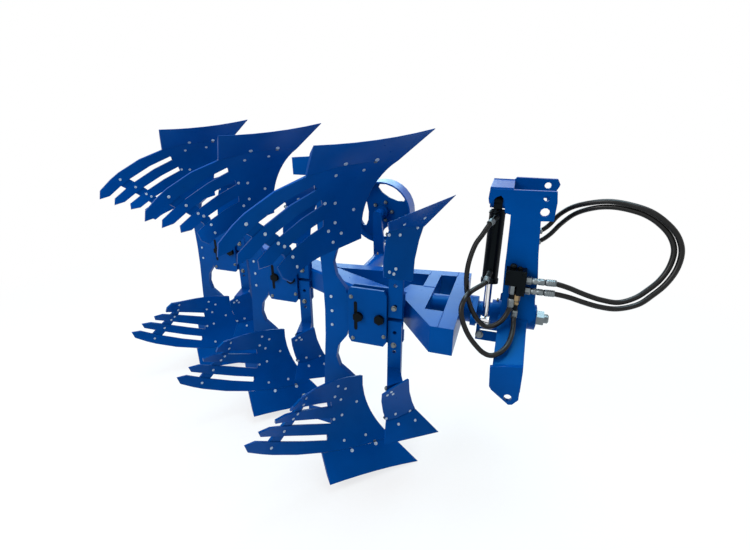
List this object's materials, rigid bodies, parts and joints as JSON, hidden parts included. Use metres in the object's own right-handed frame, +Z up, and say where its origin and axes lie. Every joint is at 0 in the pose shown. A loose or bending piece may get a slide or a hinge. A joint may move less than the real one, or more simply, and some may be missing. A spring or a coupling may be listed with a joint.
{
  "type": "reversible plough",
  "caption": "Hydraulic reversible plough: paired slatted mouldboards and skimmers on a diagonal beam that turns over behind a three-point headstock.",
  "frame": {"origin": "On the ground under the middle of the plough's box, without the two free tractor hoses and their connectors; the lower share points stand on z = 0.", "axes": "+X forward to the headstock and the tractor, +Y to the land side, where the gauge wheel is, +Z up."},
  "size_m": [2.501, 1.3, 1.466],
  "materials": {
    "blue_enamel": "gloss",
    "black_paint": "satin",
    "chrome": "polished",
    "bright_steel": "zinc plated",
    "hose_rubber": "matt"
  },
  "bodies": {
    "headstock_body": {"headstock": "blue_enamel", "turnover_stop": "blue_enamel", "cylinder_pin": "bright_steel", "valve_block": "black_paint", "cylinder_hose_upper": "hose_rubber", "cylinder_hose_lower": "hose_rubber", "tractor_hose_1": "hose_rubber", "tractor_hose_2": "hose_rubber", "quick_connector_1": "bright_steel", "quick_connector_2": "bright_steel"},
    "frame_body": {"mouldboard_lower_1": "blue_enamel", "mouldboard_upper_1": "blue_enamel", "share_lower_1": "blue_enamel", "share_upper_1": "blue_enamel", "landside_lower_1": "blue_enamel", "landside_upper_1": "blue_enamel", "skimmer_shank_lower_1": "blue_enamel", "skimmer_shank_upper_1": "blue_enamel", "skimmer_body_lower_1": "blue_enamel", "skimmer_body_upper_1": "blue_enamel", "leg_1": "blue_enamel", "bracket_1": "blue_enamel", "leg_bolt_rear_1": "black_paint", "leg_bolt_front_1": "black_paint", "mouldboard_lower_2": "blue_enamel", "mouldboard_upper_2": "blue_enamel", "share_lower_2": "blue_enamel", "share_upper_2": "blue_enamel", "landside_lower_2": "blue_enamel", "landside_upper_2": "blue_enamel", "skimmer_shank_lower_2": "blue_enamel", "skimmer_shank_upper_2": "blue_enamel", "skimmer_body_lower_2": "blue_enamel", "skimmer_body_upper_2": "blue_enamel", "leg_2": "blue_enamel", "bracket_2": "blue_enamel", "leg_bolt_rear_2": "black_paint", "leg_bolt_front_2": "black_paint", "mouldboard_lower_3": "blue_enamel", "mouldboard_upper_3": "blue_enamel", "share_lower_3": "blue_enamel", "share_upper_3": "blue_enamel", "landside_lower_3": "blue_enamel", "landside_upper_3": "blue_enamel", "skimmer_shank_lower_3": "blue_enamel", "skimmer_shank_upper_3": "blue_enamel", "skimmer_body_lower_3": "blue_enamel", "skimmer_body_upper_3": "blue_enamel", "leg_3": "blue_enamel", "bracket_3": "blue_enamel", "leg_bolt_rear_3": "black_paint", "leg_bolt_front_3": "black_paint", "beam": "blue_enamel", "front_frame": "blue_enamel", "turnover_spindle": "blue_enamel", "spindle_nut": "bright_steel"},
    "cylinder_body": {"cylinder_barrel": "black_paint"},
    "rod_body": {"cylinder_rod": "chrome"},
    "wheel_arm_body": {"wheel_arm": "blue_enamel"},
    "wheel_body": {"gauge_wheel": "blue_enamel"}
  },
  "joints": [
    {"name": "turnover", "type": "hinge", "parent": "headstock_body", "child": "frame_body", "pos_m": [0.93097, 0.014, 0.733], "axis": [-1, 0, 0], "range_deg": [0, 180]},
    {"name": "cylinder_swing", "type": "hinge", "parent": "headstock_body", "child": "cylinder_body", "pos_m": [0.82697, 0.014, 1.203], "axis": [1, 0, 0], "range_deg": [0, 12]},
    {"name": "rod_stroke", "type": "slide", "parent": "cylinder_body", "child": "rod_body", "axis": [0, -0.2081, -0.9781], "range_m": [-0.11, 0]},
    {"name": "wheel_arm_swing", "type": "hinge", "parent": "frame_body", "child": "wheel_arm_body", "pos_m": [0.20097, 0.494, 0.733], "axis": [0, 1, 0], "range_deg": [-173.13, 0]},
    {"name": "wheel_roll", "type": "hinge", "parent": "wheel_arm_body", "child": "wheel_body", "pos_m": [0.18597, 0.594, 0.983], "axis": [0, 1, 0], "continuous": true}
  ],
  "couplings": [
    {"joint": "rod_stroke", "follows": "cylinder_swing", "m_per_rad": -0.5252}
  ]
}
